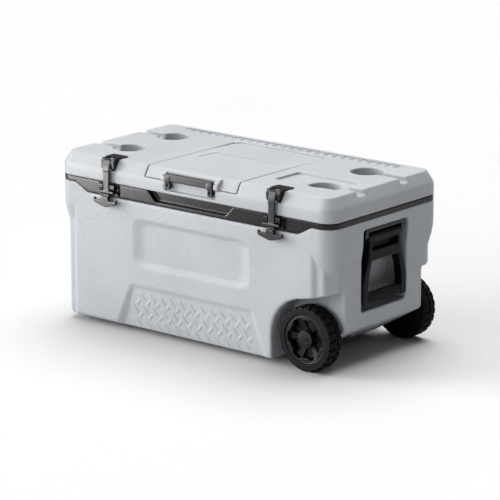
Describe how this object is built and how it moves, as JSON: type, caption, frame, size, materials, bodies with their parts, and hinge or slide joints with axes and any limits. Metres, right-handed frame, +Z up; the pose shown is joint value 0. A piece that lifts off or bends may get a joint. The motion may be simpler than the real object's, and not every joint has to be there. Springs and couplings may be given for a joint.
{
  "type": "wheeled cooler",
  "caption": "Wheeled hard cooler with hinged lid, quick-access hatch, T latches, cup holders, fold-down end handles, two wheels and a drain plug.",
  "frame": {"origin": "on the ground, under the middle of the bounding box", "axes": "+X along the length towards the wheels, -Y towards the latch side (front), +Z up"},
  "size_m": [0.813, 0.436, 0.406],
  "materials": {
    "shell_plastic": "fine pebble grain, roto-moulded",
    "lid_plastic": "satin",
    "liner_plastic": "satin",
    "foam": "closed-cell polyurethane foam",
    "black_plastic": "semi-gloss, moulded",
    "latch_rubber": "satin",
    "soft_rubber": "matte",
    "tyre": "matte",
    "rim_plastic": "semi-gloss",
    "bearing_plastic": "natural acetal",
    "steel": "zinc plated"
  },
  "bodies": {
    "tub": {"outer_shell": "shell_plastic", "body_insulation": "foam", "inner_liner": "liner_plastic", "rim_trim": "black_plastic", "axle": "steel", "drain_spout": "black_plastic", "drain_washer": "soft_rubber", "foot_front": "soft_rubber", "foot_back": "soft_rubber", "keeper_screws": "steel", "hinge_screws": "steel", "mount_screws": "steel", "latch_keeper_left": "black_plastic", "latch_keeper_right": "black_plastic", "hinge_base_left": "black_plastic", "hinge_base_right": "black_plastic", "hinge_pin_left": "steel", "hinge_pin_right": "steel", "handle_mount_left": "black_plastic", "handle_mount_right": "black_plastic", "handle_pin_left": "steel", "handle_pin_right": "steel", "axle_spacer_front": "black_plastic", "axle_spacer_back": "black_plastic"},
    "lid": {"lid_shell": "lid_plastic", "lid_insulation": "foam", "lid_liner": "liner_plastic", "lid_gasket": "soft_rubber", "hatch_gasket": "soft_rubber", "hatch_hinge_pin": "steel", "hinge_leaf_left": "black_plastic", "hinge_leaf_right": "black_plastic", "latch_mount_left": "black_plastic", "latch_mount_right": "black_plastic", "latch_pin_left": "steel", "latch_pin_right": "steel", "hatch_keeper_left": "black_plastic", "hatch_keeper_right": "black_plastic"},
    "hatch": {"hatch_shell": "lid_plastic", "hatch_liner": "liner_plastic", "hatch_insulation": "foam", "hatch_latch_pin": "steel"},
    "hatch_latch": {"hatch_latch": "black_plastic"},
    "latch_left": {"latch_strap_left": "latch_rubber"},
    "latch_right": {"latch_strap_right": "latch_rubber"},
    "wheel_front": {"tyre_front": "tyre", "rim_front": "rim_plastic", "bush_front": "bearing_plastic", "hub_cap_front": "rim_plastic"},
    "wheel_back": {"tyre_back": "tyre", "rim_back": "rim_plastic", "bush_back": "bearing_plastic", "hub_cap_back": "rim_plastic"},
    "handle_left": {"carry_handle_left": "black_plastic", "handle_grip_left": "soft_rubber"},
    "handle_right": {"carry_handle_right": "black_plastic", "handle_grip_right": "soft_rubber"},
    "drain_cap": {"drain_cap": "black_plastic"}
  },
  "joints": [
    {"name": "lid_hinge", "type": "hinge", "parent": "tub", "child": "lid", "pos_m": [0, 0.212, 0.353], "axis": [-1, 0, 0], "range_deg": [0, 95]},
    {"name": "hatch_hinge", "type": "hinge", "parent": "lid", "child": "hatch", "pos_m": [0, 0.126, 0.3985], "axis": [-1, 0, 0], "range_deg": [0, 95]},
    {"name": "hatch_latch_pivot", "type": "hinge", "parent": "hatch", "child": "hatch_latch", "pos_m": [0, -0.202, 0.391], "axis": [-1, 0, 0], "range_deg": [0, 75]},
    {"name": "latch_left_pivot", "type": "hinge", "parent": "lid", "child": "latch_left", "pos_m": [-0.2465, -0.199, 0.398], "axis": [-1, 0, 0], "range_deg": [0, 110]},
    {"name": "latch_right_pivot", "type": "hinge", "parent": "lid", "child": "latch_right", "pos_m": [0.2465, -0.199, 0.398], "axis": [-1, 0, 0], "range_deg": [0, 110]},
    {"name": "wheel_front_spin", "type": "hinge", "parent": "tub", "child": "wheel_front", "pos_m": [0.3295, -0.1745, 0.075], "axis": [0, 1, 0], "continuous": true},
    {"name": "wheel_back_spin", "type": "hinge", "parent": "tub", "child": "wheel_back", "pos_m": [0.3295, 0.1745, 0.075], "axis": [0, 1, 0], "continuous": true},
    {"name": "handle_left_pivot", "type": "hinge", "parent": "tub", "child": "handle_left", "pos_m": [-0.394, 0, 0.292], "axis": [0, 1, 0], "range_deg": [0, 100]},
    {"name": "handle_right_pivot", "type": "hinge", "parent": "tub", "child": "handle_right", "pos_m": [0.394, 0, 0.292], "axis": [0, -1, 0], "range_deg": [0, 100]},
    {"name": "drain_cap_turn", "type": "hinge", "parent": "tub", "child": "drain_cap", "pos_m": [0.31, -0.03, 0.047], "axis": [1, 0, 0], "range_deg": [0, 90]}
  ]
}
